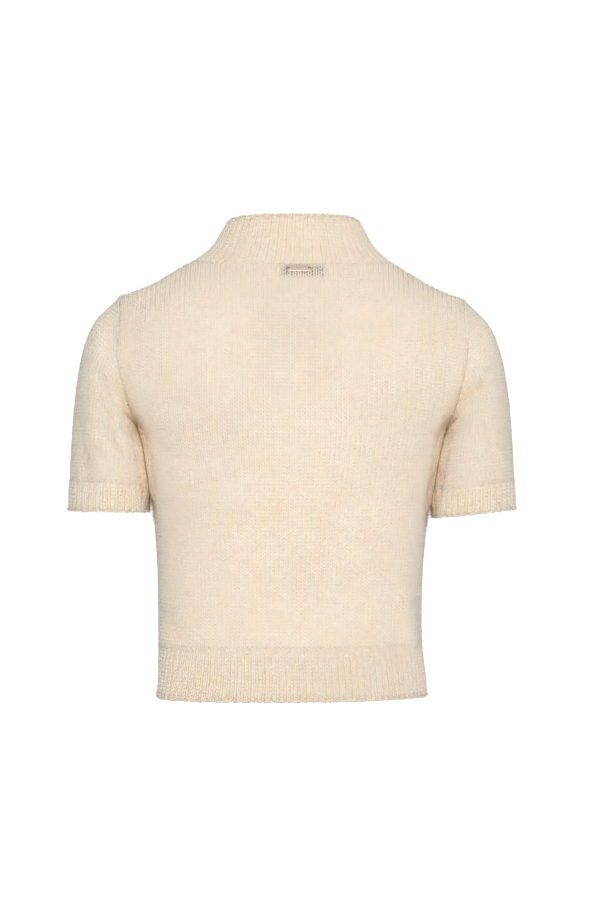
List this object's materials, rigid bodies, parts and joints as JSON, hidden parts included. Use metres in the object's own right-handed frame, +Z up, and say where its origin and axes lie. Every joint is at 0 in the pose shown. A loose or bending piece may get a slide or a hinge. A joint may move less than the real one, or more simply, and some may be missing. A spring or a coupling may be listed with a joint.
{
  "type": "cropped knit sweater",
  "caption": "Cropped mock-neck sweater in thick brushed knit with short set-in sleeves and ribbed edges, filled out and hollow.",
  "frame": {"origin": "middle of the neck, level with the bend where the neckband meets the shoulders", "axes": "+X towards the wearer's right, +Y towards the front, +Z up towards the neck opening"},
  "size_m": [0.4944, 0.2226, 0.5264],
  "materials": {
    "knit": "brushed stocking stitch",
    "rib_knit": "brushed 1x1 rib",
    "plate": "satin, blank",
    "label": "woven, blank"
  },
  "bodies": {
    "root": {"back_panel": "knit", "front_panel": "knit", "sleeve_left": "knit", "sleeve_right": "knit", "cuff_left": "rib_knit", "cuff_right": "rib_knit", "hem_rib_back": "rib_knit", "hem_rib_front": "rib_knit", "neckband": "rib_knit", "name_plate": "plate", "neck_label": "label"}
  },
  "joints": []
}
